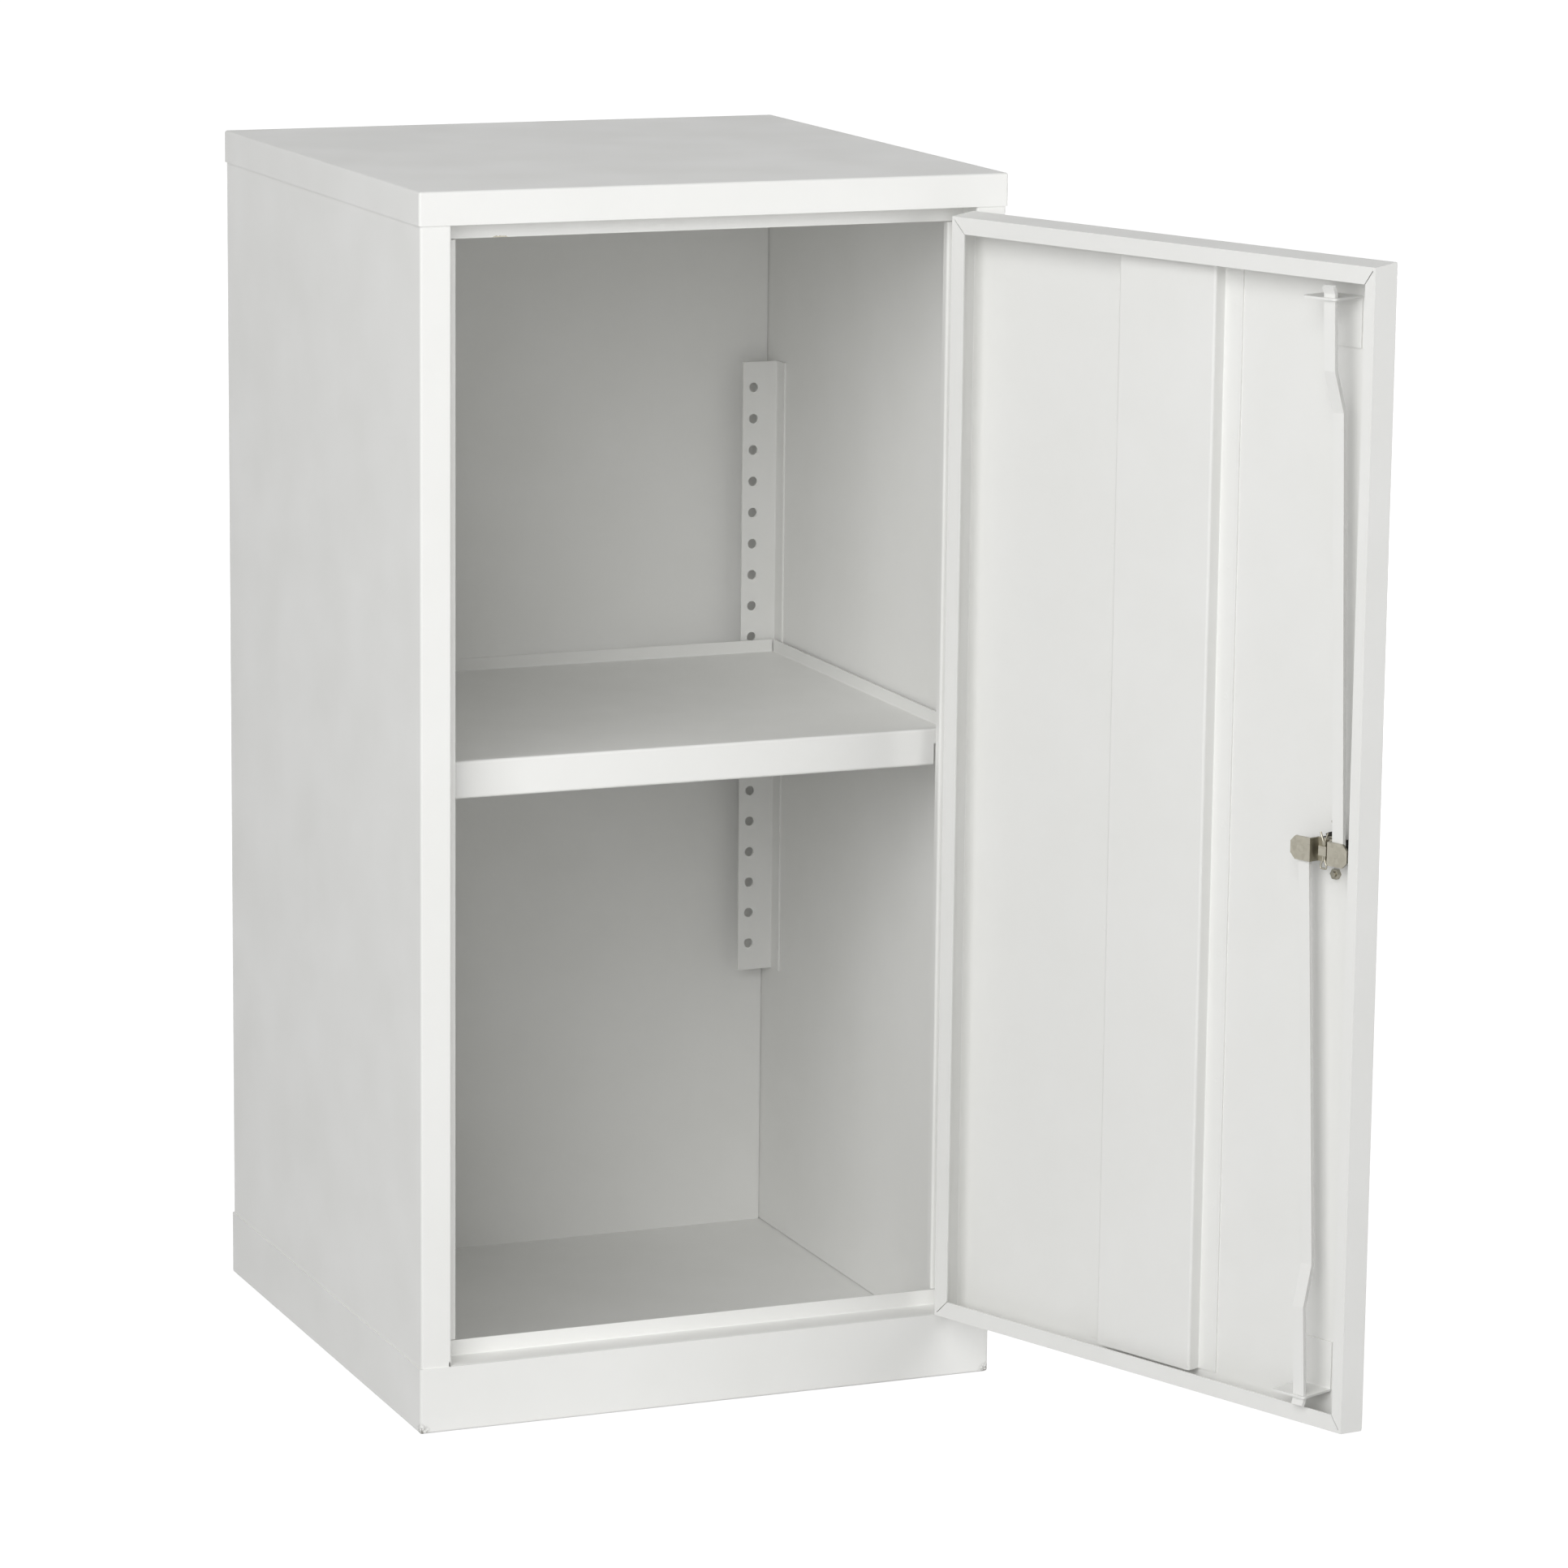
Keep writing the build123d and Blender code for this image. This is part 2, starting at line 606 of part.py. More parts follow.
# ---------------------------------------------------------------- cam, its pivots, split pin
tab_level = rod_level + rod_thickness + cam_over_rod     # near face of the cam's tabs
cam_base = tab_level - cam_drop                          # near face of the cam's middle
cam_mid = cam_base + cam_sheet / 2
tab_mid = tab_level + cam_sheet / 2
cam_folds = [
    (lock_across - cam_length / 2, tab_mid),
    (lock_across - cam_step_outer, tab_mid),
    (lock_across - cam_step_inner, cam_mid),
    (lock_across + cam_step_inner, cam_mid),
    (lock_across + cam_step_outer, tab_mid),
    (lock_across + cam_length / 2, tab_mid),
]
with BuildPart() as latch_cam:
    with BuildSketch(door_plan.offset(-lock_height)):
        with BuildLine():
            Polyline(*cam_folds)
        trace(line_width=cam_sheet)
    extrude(amount=cam_width / 2, both=True)
    across_axis = Axis(door_corner, across)
    for cam_end in (latch_cam.faces().sort_by(across_axis)[0],
                    latch_cam.faces().sort_by(across_axis)[-1]):
        chamfer(cam_end.edges().filter_by(Axis(door_corner, inward)), length=cam_width / 4)
    with BuildSketch(door_face.offset(cam_base)):
        with Locations(lock_point):
            hole_side = spindle_square + 2 * spindle_clearance
            Rectangle(hole_side, hole_side)
            with GridLocations(2 * cam_arm, 2 * cam_arm, 2, 1):
                Circle(pivot_radius + spindle_clearance)
    extrude(amount=cam_drop + cam_sheet, mode=Mode.SUBTRACT)
save(latch_cam.part, "latch_cam")

with BuildPart() as cam_pivots:
    with BuildSketch(door_face.offset(tab_level)):
        with Locations(lock_point):
            with GridLocations(2 * cam_arm, 2 * cam_arm, 2, 1):
                Circle(pivot_radius)
    extrude(amount=cam_sheet)
save(cam_pivots.part, "cam_pivots")

leg = wire_radius + wire_gap / 2
pin_level = cam_base + cam_sheet + spindle_beyond_cam / 2
right_half = [
    (lock_across + split_spread, lock_height + split_above),
    (lock_across + leg, lock_height + split_above / 2),
    (lock_across + leg, lock_height - split_eye_drop / 2),
    (lock_across + split_eye, lock_height - split_eye_drop + split_eye),
    (lock_across + split_eye, lock_height - split_eye_drop),
]
left_half = [(2 * lock_across - u, z) for u, z in reversed(right_half)]
with BuildPart() as split_pin:
    with BuildLine(door_face.offset(pin_level)) as pin_line:
        FilletPolyline(*right_half, *left_half, radius=1.5 * wire_radius)
    with BuildSketch(Plane(origin=pin_line.line @ 0, z_dir=pin_line.line % 0)):
        Circle(wire_radius)
    sweep()
save(split_pin.part, "split_pin")

# ---------------------------------------------------------------- lock bush, nut and plate
with BuildPart() as lock_bush:
    with BuildSketch(door_face):
        with Locations(lock_point):
            Circle(bush_radius)
            Circle(spindle_radius + spindle_clearance, mode=Mode.SUBTRACT)
    extrude(amount=bush_length)
    chamfer(lock_bush.edges().filter_by(GeomType.CIRCLE).group_by(inward_axis)[-1], length=mid)
save(lock_bush.part, "lock_bush")

with BuildPart() as lock_nut:
    with BuildSketch(door_face.offset(sheet)):
        with Locations(lock_point):
            Circle(locknut_radius)
            Circle(bush_radius + bush_clearance, mode=Mode.SUBTRACT)
            with PolarLocations(locknut_radius, 4, start_angle=45):
                Rectangle(locknut_notch, locknut_notch, mode=Mode.SUBTRACT)
    extrude(amount=locknut_height)
save(lock_nut.part, "lock_nut")

with BuildPart() as escutcheon:
    with BuildSketch(door_face):
        with Locations(lock_point):
            SlotOverall(escutcheon_length, escutcheon_width, rotation=90)
    extrude(amount=-escutcheon_plate)
    chamfer(escutcheon.faces().sort_by(inward_axis)[0].edges(), length=mid)
    with BuildSketch(door_face):
        with Locations(lock_point):
            Circle(spindle_radius + 4 * spindle_clearance)
    extrude(amount=-escutcheon_plate, mode=Mode.SUBTRACT)
    outside_face = door_face.offset(-escutcheon_plate)
    with Locations(Plane(origin=outside_face.origin, x_dir=across, z_dir=inward * -1)):
        with Locations((lock_across, -lock_height)):
            with GridLocations(escutcheon_pitch, escutcheon_pitch, 1, 2):
                CounterSinkHole(radius=screw_radius + screw_clearance,
                                counter_sink_radius=screw_head_radius + screw_clearance)
save(escutcheon.part, "escutcheon")

screw_head = screw_head_radius - screw_radius
screw_length = escutcheon_plate + sheet + nut_height + screw_beyond_nut
with BuildPart() as escutcheon_screws:
    with BuildSketch(outside_face):
        with Locations(lock_point):
            with GridLocations(escutcheon_pitch, escutcheon_pitch, 1, 2):
                Circle(screw_head_radius)
    extrude(amount=screw_head, taper=45)
    with BuildSketch(outside_face):
        with Locations(lock_point):
            with GridLocations(escutcheon_pitch, escutcheon_pitch, 1, 2):
                Circle(screw_radius)
    extrude(amount=screw_length)
save(escutcheon_screws.part, "escutcheon_screws")

with BuildPart() as escutcheon_nuts:
    with BuildSketch(door_face.offset(sheet)):
        with Locations(lock_point):
            with GridLocations(escutcheon_pitch, escutcheon_pitch, 1, 2):
                RegularPolygon(nut_across_flats / 2, 6, major_radius=False)
                Circle(screw_radius + screw_clearance, mode=Mode.SUBTRACT)
    extrude(amount=nut_height)
save(escutcheon_nuts.part, "escutcheon_nuts")

# ---------------------------------------------------------------- handle, spindle, key barrel
hub_back = -escutcheon_plate - handle_running_gap
with BuildPart() as handle:
    with BuildSketch(door_face.offset(hub_back)):
        with Locations(lock_point):
            Circle(hub_radius)
    extrude(amount=-(handle_face + hub_back))
    with BuildSketch(door_face.offset(-handle_face)):
        with Locations(lock_point):
            Circle(hub_radius)
        with Locations((lock_across - lever_length, lock_height)):
            Circle(lever_tip_radius)
        make_hull()
    extrude(amount=lever_thickness)
    chamfer(handle.faces().sort_by(inward_axis)[0].edges(), length=lever_thickness / 4)
    with BuildSketch(door_face.offset(hub_back)):
        with Locations(lock_point):
            Circle(spindle_radius + spindle_clearance)
    extrude(amount=-handle_socket, mode=Mode.SUBTRACT)
    with BuildSketch(door_face.offset(-handle_face)):
        with Locations(lock_point):
            Circle(barrel_radius + spindle_clearance)
    extrude(amount=barrel_length, mode=Mode.SUBTRACT)
save(handle.part, "handle")

with BuildPart() as handle_spindle:
    with BuildSketch(door_face.offset(hub_back - handle_socket)):
        with Locations(lock_point):
            Circle(spindle_radius)
    extrude(amount=cam_base - hub_back + handle_socket)
    with BuildSketch(door_face.offset(cam_base)):
        with Locations(lock_point):
            Rectangle(spindle_square, spindle_square)
    extrude(amount=cam_sheet + spindle_beyond_cam)
    with BuildSketch(Plane(origin=door_point(*lock_point, pin_level), x_dir=across)):
        Rectangle(4 * leg, 2 * leg)
    extrude(amount=spindle_square, both=True, mode=Mode.SUBTRACT)
save(handle_spindle.part, "handle_spindle")

with BuildPart() as key_barrel:
    with BuildSketch(door_face.offset(-handle_face - barrel_proud)):
        with Locations(lock_point):
            Circle(barrel_radius)
    extrude(amount=barrel_length + barrel_proud)
    chamfer(key_barrel.faces().sort_by(inward_axis)[0].edges(), length=barrel_proud / 2)
    with BuildSketch(door_face.offset(-handle_face - barrel_proud)):
        with Locations(lock_point):
            Rectangle(key_slot_width, key_slot_length)
    extrude(amount=key_slot_depth, mode=Mode.SUBTRACT)
save(key_barrel.part, "key_barrel")
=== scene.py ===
"""Looks and stage for a white steel floor cupboard with one door, standing open."""

import json
from math import cos, pi, radians, sin

import bmesh
import bpy
from mathutils import Matrix, Vector, noise


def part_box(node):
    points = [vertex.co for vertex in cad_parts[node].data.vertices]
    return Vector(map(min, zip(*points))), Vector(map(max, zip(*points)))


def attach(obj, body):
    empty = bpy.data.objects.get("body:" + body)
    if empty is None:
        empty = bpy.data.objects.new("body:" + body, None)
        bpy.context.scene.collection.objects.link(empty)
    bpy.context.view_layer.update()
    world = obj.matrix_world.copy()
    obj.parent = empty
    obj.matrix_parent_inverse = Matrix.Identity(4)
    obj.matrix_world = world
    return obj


bl_info = {
    "name": "Steel floor cupboard",
    "version": (1, 0, 0),
    "blender": (4, 5, 0),
    "location": "3D View > Sidebar > Cupboard",
    "description": "Finishes, small fittings and a studio stage for a steel floor cupboard",
    "category": "Object",
}

MM = 0.001
MERGE_DISTANCE = 0.002 * MM     # corners of a new piece that lie nearer than this become one
WELD_SIDES = 20                 # facets round a weld mark
# A weld mark from its middle out: shares of its radius and of its rise. The last one is buried.
WELD_PROFILE = ((0.0, 0.25), (0.55, 0.3), (0.75, 1.0), (0.88, 0.85), (1.0, -0.2))
SENSOR_WIDTH = 36.0             # millimetres
FLOOR_HALF = 20.0
FLOOR_DROP = 0.2 * MM           # floor below the sump, so that the two faces never coincide
LAMP_AIM = (0.0, -0.1, 0.45)    # middle of the cupboard and its door
# Name, place and side of each softbox, and the setting that holds its power.
LAMPS = (
    ("key_softbox", (-2.5, -3.0, 2.15), 3.2, "key_watts"),
    ("fill_softbox", (2.3, -3.4, 1.5), 1.4, "fill_watts"),
    ("back_softbox", (3.5, 2.3, 0.95), 2.4, "back_watts"),
)

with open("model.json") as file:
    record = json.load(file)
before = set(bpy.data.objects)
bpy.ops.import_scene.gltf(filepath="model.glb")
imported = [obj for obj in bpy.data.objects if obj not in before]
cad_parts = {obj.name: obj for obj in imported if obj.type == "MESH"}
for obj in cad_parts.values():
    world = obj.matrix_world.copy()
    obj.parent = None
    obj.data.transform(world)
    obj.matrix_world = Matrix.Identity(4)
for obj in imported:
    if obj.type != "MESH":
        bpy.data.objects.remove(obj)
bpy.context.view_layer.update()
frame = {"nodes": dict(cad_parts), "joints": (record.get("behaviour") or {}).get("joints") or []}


# ------------------------------------------------------------------ places taken from the frame
def joint(name):
    """The record of one joint."""
    return next(row for row in frame["joints"] if row["name"] == name)


door_hinge = joint("door_swing")
HINGE = Vector(door_hinge["pos_m"])                # a point on the hinge axis
OPEN = radians(-door_hinge["range_deg"][0])        # how far the door stands open at rest
ACROSS = Vector((-cos(OPEN), -sin(OPEN), 0.0))     # from the hinge edge to the free edge
INWARD = Vector((-sin(OPEN), cos(OPEN), 0.0))      # from the skin to the lips
UP = Vector((0.0, 0.0, 1.0))
LOCK = Vector(joint("latch_turn")["pos_m"])        # a point on the spindle's axis


class DoorBox:
    """The extent of one node in the door's own directions, measured from the hinge axis."""

    def __init__(self, node):
        points = [vertex.co - HINGE for vertex in frame["nodes"][node].data.vertices]
        self.near = min(point.dot(ACROSS) for point in points)
        self.far = max(point.dot(ACROSS) for point in points)
        self.outer = min(point.dot(INWARD) for point in points)
        low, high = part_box(node)
        self.bottom, self.top = low[2], high[2]


def door_spot(over, height, depth):
    """A point over from the hinge axis, at a height from the floor and a depth into the door."""
    return HINGE + ACROSS * over + INWARD * depth + UP * (height - HINGE.z)


# ------------------------------------------------------------------ sizes and colours
class CupboardSizes(bpy.types.PropertyGroup):
    """Sizes of the small details that are added to the CAD nodes."""

    weld_radius: bpy.props.FloatProperty(
        name="Weld radius", description="Radius of a spot weld's mark under the paint",
        default=2.6 * MM, unit="LENGTH")
    weld_rise: bpy.props.FloatProperty(
        name="Weld rise", description="How far the rim of a weld mark stands proud",
        default=0.12 * MM, unit="LENGTH")
    weld_pitch: bpy.props.FloatProperty(
        name="Weld pitch", description="Distance between spot welds along a flange",
        default=90.0 * MM, unit="LENGTH")
    recess_radius: bpy.props.FloatProperty(
        name="Recess radius", description="Reach of the cross recess in a screw's head",
        default=2.1 * MM, unit="LENGTH")
    chip_width: bpy.props.FloatProperty(
        name="Chip width", description="Length of the worn patch on the header's stop",
        default=13.0 * MM, unit="LENGTH")


def linear(code):
    """An sRGB hex colour as the linear RGBA that Blender's shaders take."""
    channels = [int(code[i:i + 2], 16) / 255.0 for i in (1, 3, 5)]
    return [c / 12.92 if c <= 0.04045 else ((c + 0.055) / 1.055) ** 2.4 for c in channels] + [1.0]


class CupboardColours(bpy.types.PropertyGroup):
    """Colours of the finishes."""

    paint: bpy.props.FloatVectorProperty(
        name="Powder coat", description="Colour of the baked white powder coat",
        default=linear("#EDEDEB"), size=4, subtype="COLOR", min=0.0, max=1.0)
    paint_shade: bpy.props.FloatVectorProperty(
        name="Powder coat, thin", description="Colour where the coat lies thinner",
        default=linear("#E8E8E5"), size=4, subtype="COLOR", min=0.0, max=1.0)
    # Painted shade: the dark marks at the foot's two front corners, where it meets the floor.
    corner_painted_shade: bpy.props.FloatVectorProperty(
        name="Scuff", description="Colour of the marks where the foot has been pushed about",
        default=linear("#8C8A84"), size=4, subtype="COLOR", min=0.0, max=1.0)
    zinc: bpy.props.FloatVectorProperty(
        name="Zinc", description="Main colour of the zinc plate",
        default=linear("#B0AC9F"), size=4, subtype="COLOR", min=0.0, max=1.0)
    zinc_dull: bpy.props.FloatVectorProperty(
        name="Zinc, dull", description="Colour of the duller grains of the zinc plate",
        default=linear("#A5A194"), size=4, subtype="COLOR", min=0.0, max=1.0)
    # Also the colour of the painted shade in the jamb's seam slit and in the screws' cross
    # recesses.
    black: bpy.props.FloatVectorProperty(
        name="Black oxide", description="Colour of the blackened nut",
        default=linear("#3A3836"), size=4, subtype="COLOR", min=0.0, max=1.0)
    chrome: bpy.props.FloatVectorProperty(
        name="Satin chrome", description="Colour of the lever and its plate",
        default=linear("#CDCFD0"), size=4, subtype="COLOR", min=0.0, max=1.0)


# ------------------------------------------------------------------ shader helpers
def add_node(tree, kind, inputs=None, **settings):
    """Add a shader node, set its own settings, and give its inputs a value or a link."""
    node = tree.nodes.new(kind)
    for name, value in settings.items():
        setattr(node, name, value)
    for name, value in (inputs or {}).items():
        if isinstance(value, bpy.types.NodeSocket):
            tree.links.new(value, node.inputs[name])
        else:
            node.inputs[name].default_value = value
    return node


def per_metre(size_mm):
    """The texture scale at which one feature of a pattern is about size_mm across."""
    return 1000.0 / size_mm


def empty_material(name, colour):
    """A material with its nodes cleared, and a colour for the solid view."""
    material = bpy.data.materials.new(name)
    material.use_nodes = True
    material.diffuse_color = colour
    material.node_tree.nodes.clear()
    return material


def white_powder_coat(colours):
    """Polyester powder, sprayed on degreased steel and baked.

    A semi-gloss skin with a fine orange peel, slow waves from the thin sheet under it, and a
    little painted shade at the front corners of the foot: broken grey marks where it meets the
    floor.
    """
    material = empty_material("white_powder_coat_baked", colours.paint)
    tree = material.node_tree
    place = add_node(tree, "ShaderNodeTexCoord").outputs["Object"]
    # Sheet waves: 180 mm long. Cloudy film thickness: 60 mm. Orange peel: really 1.5 mm, drawn
    # at 3 mm so that it shows.
    waves = add_node(tree, "ShaderNodeTexNoise",
                     {"Vector": place, "Scale": per_metre(180), "Detail": 0.0})
    film = add_node(tree, "ShaderNodeTexNoise",
                    {"Vector": place, "Scale": per_metre(60), "Detail": 3.0})
    peel = add_node(tree, "ShaderNodeTexNoise",
                    {"Vector": place, "Scale": per_metre(3), "Detail": 1.0})
    coat = add_node(tree, "ShaderNodeMix",
                    {0: film.outputs["Fac"], 6: list(colours.paint), 7: list(colours.paint_shade)},
                    data_type="RGBA")
    # Painted shade: broken dark marks 2 mm across within 9 mm of the two front corners of the
    # foot, where it meets the floor. The noise turns from coat to mark between 0.42 and 0.55.
    low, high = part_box("base_sump")
    corners = [add_node(tree, "ShaderNodeVectorMath",
                        {0: place, 1: (across, low[1], low[2])}, operation="DISTANCE")
               for across in (low[0], high[0])]
    nearest = add_node(tree, "ShaderNodeMath",
                       {0: corners[0].outputs["Value"], 1: corners[1].outputs["Value"]},
                       operation="MINIMUM")
    near = add_node(tree, "ShaderNodeMapRange",
                    {"Value": nearest.outputs[0], "From Min": 2.0 * MM, "From Max": 9.0 * MM,
                     "To Min": 1.0, "To Max": 0.0})
    marks = add_node(tree, "ShaderNodeTexNoise",
                     {"Vector": place, "Scale": per_metre(2), "Detail": 2.0})
    broken = add_node(tree, "ShaderNodeMapRange",
                      {"Value": marks.outputs["Fac"], "From Min": 0.42, "From Max": 0.55})
    corner_shade_mask = add_node(tree, "ShaderNodeMath",
                       {0: near.outputs["Result"], 1: broken.outputs["Result"]},
                       operation="MULTIPLY")
    colour = add_node(tree, "ShaderNodeMix",
                      {0: corner_shade_mask.outputs[0], 6: coat.outputs[2], 7: list(colours.corner_painted_shade)},
                      data_type="RGBA")
    # Semi-gloss, duller where the film is thin.
    rough = add_node(tree, "ShaderNodeMapRange",
                     {"Value": film.outputs["Fac"], "From Min": 0.3, "From Max": 0.7,
                      "To Min": 0.44, "To Max": 0.54})
    sheet_bump = add_node(tree, "ShaderNodeBump",
                          {"Strength": 1.0, "Distance": 0.08 * MM,
                           "Height": waves.outputs["Fac"]})
    peel_bump = add_node(tree, "ShaderNodeBump",
                         {"Strength": 1.0, "Distance": 0.05 * MM,
                          "Height": peel.outputs["Fac"],
                          "Normal": sheet_bump.outputs["Normal"]})
    skin = add_node(tree, "ShaderNodeBsdfPrincipled",
                    {"Base Color": colour.outputs[2], "Roughness": rough.outputs["Result"],
                     "Normal": peel_bump.outputs["Normal"]})
    skin.inputs["IOR"].default_value = 1.5
    add_node(tree, "ShaderNodeOutputMaterial", {"Surface": skin.outputs["BSDF"]})
    return material


def zinc_plate(colours):
    """Electroplated zinc, dipped to passivate it.

    A soft grey shine broken into small dull and bright grains, slightly yellow.
    """
    material = empty_material("zinc_plate_passivated", colours.zinc)
    tree = material.node_tree
    place = add_node(tree, "ShaderNodeTexCoord").outputs["Object"]
    # Grains of 3 mm, and pits really 0.2 mm across, drawn at 0.8 mm so that they show.
    grains = add_node(tree, "ShaderNodeTexVoronoi",
                      {"Vector": place, "Scale": per_metre(3)})
    tone = add_node(tree, "ShaderNodeSeparateColor",
                    {"Color": grains.outputs["Color"]}).outputs["Red"]
    pits = add_node(tree, "ShaderNodeTexNoise",
                    {"Vector": place, "Scale": per_metre(0.8), "Detail": 2.0})
    colour = add_node(tree, "ShaderNodeMix",
                      {0: tone, 6: list(colours.zinc), 7: list(colours.zinc_dull)},
                      data_type="RGBA")
    rough = add_node(tree, "ShaderNodeMapRange", {"Value": tone, "To Min": 0.3, "To Max": 0.38})
    bump = add_node(tree, "ShaderNodeBump",
                    {"Strength": 1.0, "Distance": 0.01 * MM, "Height": pits.outputs["Fac"]})
    plate = add_node(tree, "ShaderNodeBsdfPrincipled",
                     {"Base Color": colour.outputs[2], "Metallic": 1.0,
                      "Roughness": rough.outputs["Result"], "Normal": bump.outputs["Normal"]})
    add_node(tree, "ShaderNodeOutputMaterial", {"Surface": plate.outputs["BSDF"]})
    return material


def blackened_steel(colours):
    """Turned steel with an oiled black oxide skin: nearly black, with a dull metal glint."""
    # This finish is also laid flat as painted shade in the jamb's seam slit and the screws' cross
    # recesses.
    material = empty_material("steel_black_oxide", colours.black)
    tree = material.node_tree
    place = add_node(tree, "ShaderNodeTexCoord").outputs["Object"]
    # Blotches of oil 5 mm across.
    oil = add_node(tree, "ShaderNodeTexNoise",
                   {"Vector": place, "Scale": per_metre(5), "Detail": 2.0})
    rough = add_node(tree, "ShaderNodeMapRange",
                     {"Value": oil.outputs["Fac"], "From Min": 0.3, "From Max": 0.7,
                      "To Min": 0.32, "To Max": 0.5})
    bump = add_node(tree, "ShaderNodeBump",
                    {"Strength": 1.0, "Distance": 0.01 * MM, "Height": oil.outputs["Fac"]})
    steel = add_node(tree, "ShaderNodeBsdfPrincipled",
                     {"Base Color": list(colours.black), "Metallic": 0.8,
                      "Roughness": rough.outputs["Result"], "Normal": bump.outputs["Normal"]})
    add_node(tree, "ShaderNodeOutputMaterial", {"Surface": steel.outputs["BSDF"]})
    return material


def satin_chrome(colours):
    """Zinc die casting, brushed upright and chromed: fine upright lines in a pale mirror."""
    material = empty_material("chrome_satin_brushed", colours.chrome)
    tree = material.node_tree
    place = add_node(tree, "ShaderNodeTexCoord").outputs["Object"]
    # Brush lines really 0.1 mm apart, drawn at 0.6 mm and stretched 30 times upright.
    stretched = add_node(tree, "ShaderNodeMapping",
                         {"Vector": place, "Scale": (1.0, 1.0, 1.0 / 30.0)})
    lines = add_node(tree, "ShaderNodeTexNoise",
                     {"Vector": stretched.outputs["Vector"], "Scale": per_metre(0.6),
                      "Detail": 2.0})
    rough = add_node(tree, "ShaderNodeMapRange",
                     {"Value": lines.outputs["Fac"], "From Min": 0.3, "From Max": 0.7,
                      "To Min": 0.18, "To Max": 0.32})
    bump = add_node(tree, "ShaderNodeBump",
                    {"Strength": 1.0, "Distance": 0.006 * MM, "Height": lines.outputs["Fac"]})
    plate = add_node(tree, "ShaderNodeBsdfPrincipled",
                     {"Base Color": list(colours.chrome), "Metallic": 1.0,
                      "Roughness": rough.outputs["Result"], "Normal": bump.outputs["Normal"]})
    add_node(tree, "ShaderNodeOutputMaterial", {"Surface": plate.outputs["BSDF"]})
    return material


FINISHES = {
    "white_powder_coat": white_powder_coat,
    "zinc_plate": zinc_plate,
    "blackened_steel": blackened_steel,
    "satin_chrome": satin_chrome,
}
finished = {}       # materials made so far, by slot


def finish_for(slot):
    """The material of a slot, made the first time that it is asked for."""
    if slot not in finished:
        finished[slot] = FINISHES[slot](bpy.context.scene.cupboard_colours)
    return finished[slot]


def coat_nodes(slot):
    """Give a slot's finish to every CAD node whose packed material is that slot."""
    count = 0
    for node in frame["nodes"].values():
        packed = node.material_slots[0].material
        if packed and packed.name.split(".")[0] == slot:
            for place in node.material_slots:
                place.material = finish_for(slot)
            count += 1
    if not count:
        raise RuntimeError(f"no CAD node takes the slot {slot}")


# ------------------------------------------------------------------ mesh helpers
def new_piece(name, mesh_maker, body, slot):
    """Make a mesh object from a bmesh function, and put it on a body with a slot's finish."""
    mesh = bmesh.new()
    mesh_maker(mesh)
    bmesh.ops.remove_doubles(mesh, verts=mesh.verts, dist=MERGE_DISTANCE)
    bmesh.ops.recalc_face_normals(mesh, faces=mesh.faces)
    data = bpy.data.meshes.new(name)
    mesh.to_mesh(data)
    mesh.free()
    data.shade_smooth()
    piece = bpy.data.objects.new(name, data)
    bpy.context.scene.collection.objects.link(piece)
    data.materials.append(finish_for(slot))
    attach(piece, body)


def lathe(mesh, profile, centre, axis, sides):
    """Turn a profile of (radius, height) points about an axis through centre."""
    turn = axis.to_track_quat("Z", "Y").to_matrix()
    rings = []
    for radius, height in profile:
        if radius == 0.0:
            rings.append([mesh.verts.new(centre + turn @ Vector((0.0, 0.0, height)))])
            continue
        ring = []
        for side in range(sides):
            angle = 2.0 * pi * side / sides
            spot = Vector((radius * cos(angle), radius * sin(angle), height))
            ring.append(mesh.verts.new(centre + turn @ spot))
        rings.append(ring)
    for inner, outer in zip(rings, rings[1:]):
        for side in range(sides):
            after = (side + 1) % sides
            corners = [inner[side % len(inner)], inner[after % len(inner)],
                       outer[after % len(outer)], outer[side % len(outer)]]
            mesh.faces.new(list(dict.fromkeys(corners)))


def weld_mark(mesh, centre, out):
    """A spot weld under paint: a shallow dish with a rim, its skirt just inside the sheet."""
    sizes = bpy.context.scene.cupboard_sizes
    profile = [(across * sizes.weld_radius, up * sizes.weld_rise) for across, up in WELD_PROFILE]
    lathe(mesh, profile, centre, out, WELD_SIDES)


def spaced(low, high, pitch):
    """Evenly spaced places from low to high, about a pitch apart."""
    steps = max(1, round((high - low) / pitch))
    return [low + (high - low) * step / steps for step in range(steps + 1)]


class CupboardStep:
    """What every step of this file shares."""

    bl_options = {"REGISTER", "UNDO"}


# ------------------------------------------------------------------ finishes on the CAD nodes
class CUPBOARD_OT_powder_coat(CupboardStep, bpy.types.Operator):
    """Coat all the folded sheets, the hinge leaves, the rods and their guides"""

    bl_idname = "cupboard.powder_coat"
    bl_label = "Powder coat the sheet metal"

    def execute(self, context):
        coat_nodes("white_powder_coat")
        return {"FINISHED"}


class CUPBOARD_OT_zinc_plate(CupboardStep, bpy.types.Operator):
    """Plate the cam and its small parts, the shelf clips, the hinge pins, the screws and nuts"""

    bl_idname = "cupboard.zinc_plate"
    bl_label = "Zinc plate the fittings"

    def execute(self, context):
        coat_nodes("zinc_plate")
        return {"FINISHED"}


class CUPBOARD_OT_black_oxide(CupboardStep, bpy.types.Operator):
    """Blacken the nut behind the lock"""

    bl_idname = "cupboard.black_oxide"
    bl_label = "Blacken the lock nut"

    def execute(self, context):
        coat_nodes("blackened_steel")
        return {"FINISHED"}


class CUPBOARD_OT_satin_chrome(CupboardStep, bpy.types.Operator):
    """Chrome the lever, its plate and the key barrel"""

    bl_idname = "cupboard.satin_chrome"
    bl_label = "Chrome the lever and its plate"

    def execute(self, context):
        coat_nodes("satin_chrome")
        return {"FINISHED"}


